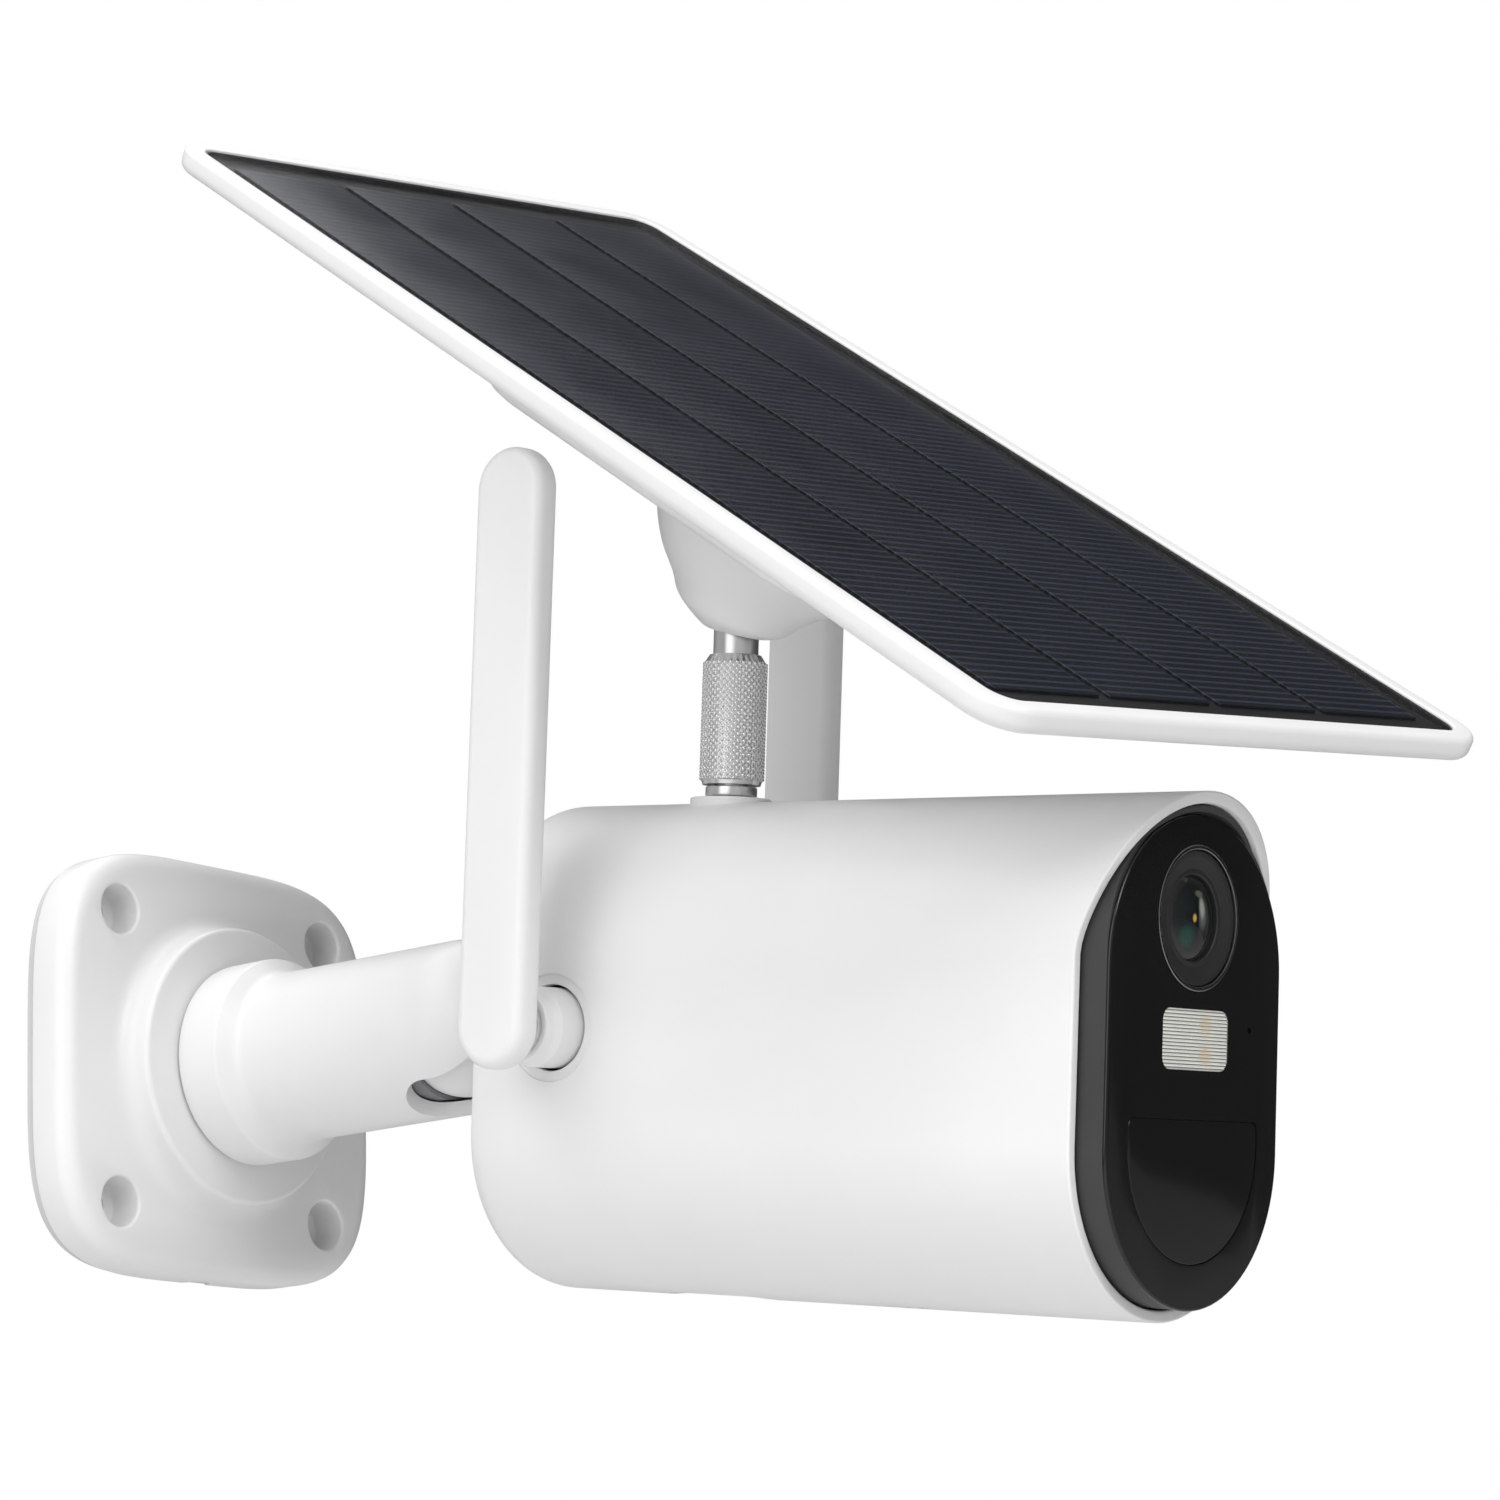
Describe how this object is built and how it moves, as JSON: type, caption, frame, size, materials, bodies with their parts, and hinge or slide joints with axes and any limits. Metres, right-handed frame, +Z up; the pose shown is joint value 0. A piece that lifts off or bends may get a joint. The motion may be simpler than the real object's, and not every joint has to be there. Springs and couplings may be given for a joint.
{
  "type": "solar-powered security camera",
  "caption": "Wall-mounted wireless security camera with folding antennas, a ball-jointed arm and a tilting solar panel on a knurled stud above it.",
  "frame": {"origin": "centre of the wall gasket's back face, where the bracket meets the wall", "axes": "+Y into the wall, -Y the way the camera looks, +Z up, +X to the camera's left as it looks"},
  "size_m": [0.1302, 0.2591, 0.2327],
  "materials": {
    "white_shell": "satin white moulded plastic",
    "white_paint": "satin white paint on cast aluminium",
    "gloss_black": "polished black",
    "matte_black": "fine matte black",
    "steel": "zinc-plated",
    "knurled_aluminium": "diamond-knurled, satin",
    "bright_metal": "polished",
    "lens_glass": "coated lens",
    "clear_window": "clear, finely ribbed",
    "panel_glass": "clear resin sheet",
    "solar_cell": "dark blue silicon",
    "rubber": "closed-cell rubber",
    "foam": "pale closed-cell foam",
    "green_board": "solder mask",
    "dark_board": "black solder mask",
    "led": "warm LED phosphor",
    "battery_sleeve": "shrink sleeve",
    "grey_plastic": "moulded grey"
  },
  "bodies": {
    "wall_base": {"wall_gasket": "foam", "base_plate": "white_paint"},
    "arm": {"arm_tube": "white_paint", "swivel_washer": "steel", "swivel_screw": "steel", "ball_seat": "grey_plastic", "socket_lock_screw": "steel"},
    "ball_stud": {"camera_ball_stud": "white_paint", "lock_nut": "white_paint"},
    "camera": {"main_shell": "white_shell", "port_cover": "white_shell", "front_bezel": "matte_black", "bezel_seal": "rubber", "face_plate": "gloss_black", "lens_ring": "bright_metal", "lens_shroud": "matte_black", "lens_glass": "lens_glass", "lens_barrel": "matte_black", "image_sensor_board": "green_board", "led_window": "clear_window", "pir_window": "gloss_black", "pir_sensor": "steel", "microphone": "steel", "led_board": "green_board", "led_upper": "led", "led_lower": "led", "front_board": "green_board", "main_board": "green_board", "modem_board": "dark_board", "battery_holder": "grey_plastic", "battery_cell_top_left": "battery_sleeve", "battery_cell_top_right": "battery_sleeve", "battery_cell_bottom_left": "battery_sleeve", "battery_cell_bottom_right": "battery_sleeve", "speaker": "dark_board", "left_antenna_hub": "white_shell", "right_antenna_hub": "white_shell", "panel_stud": "bright_metal", "stud_nut": "steel", "rear_nut": "steel"},
    "left_antenna": {"left_antenna": "white_shell", "left_pivot_screw": "steel", "left_pivot_washer": "steel"},
    "right_antenna": {"right_antenna": "white_shell", "right_pivot_screw": "steel", "right_pivot_washer": "steel"},
    "lock_sleeve": {"knurled_sleeve": "knurled_aluminium"},
    "panel_stem": {"ball_stem": "bright_metal"},
    "panel": {"panel_tray": "white_shell", "socket_housing": "white_shell", "socket_cap": "grey_plastic", "panel_screw_front": "steel", "panel_screw_rear": "steel", "backing_board": "dark_board", "solar_cell_strip_1": "solar_cell", "solar_cell_strip_2": "solar_cell", "solar_cell_strip_3": "solar_cell", "solar_cell_strip_4": "solar_cell", "panel_glass": "panel_glass", "junction_board": "green_board"}
  },
  "joints": [
    {"name": "arm_swivel", "type": "hinge", "parent": "wall_base", "child": "arm", "pos_m": [0, -0.0345, 0], "axis": [0, 1, 0], "range_deg": [-180, 180]},
    {"name": "camera_tilt", "type": "hinge", "parent": "arm", "child": "ball_stud", "pos_m": [0, -0.0707, 0], "axis": [0.9304, 0, -0.3665], "range_deg": [-20, 75]},
    {"name": "camera_spin", "type": "hinge", "parent": "ball_stud", "child": "camera", "pos_m": [0, -0.0707, 0], "axis": [0.0043, 0.9894, 0.1451], "range_deg": [-180, 180]},
    {"name": "left_antenna_fold", "type": "hinge", "parent": "camera", "child": "left_antenna", "pos_m": [0.03995, -0.11347, -0.00382], "axis": [0.997, -0.0155, 0.0762], "range_deg": [-170, 5]},
    {"name": "right_antenna_fold", "type": "hinge", "parent": "camera", "child": "right_antenna", "pos_m": [-0.04021, -0.11222, -0.00995], "axis": [0.997, -0.0155, 0.0762], "range_deg": [-170, 5]},
    {"name": "sleeve_turn", "type": "hinge", "parent": "camera", "child": "lock_sleeve", "pos_m": [-0.00327, -0.13429, 0.02987], "axis": [-0.0776, -0.1444, 0.9865], "range_deg": [-180, 180]},
    {"name": "panel_spin", "type": "hinge", "parent": "camera", "child": "panel_stem", "pos_m": [-0.00327, -0.13429, 0.02987], "axis": [-0.0776, -0.1444, 0.9865], "range_deg": [-10, 25]},
    {"name": "panel_tilt", "type": "hinge", "parent": "panel_stem", "child": "panel", "pos_m": [-0.00612, -0.13959, 0.06607], "axis": [0.9811, -0.169, 0.0944], "range_deg": [-15, 5]}
  ]
}
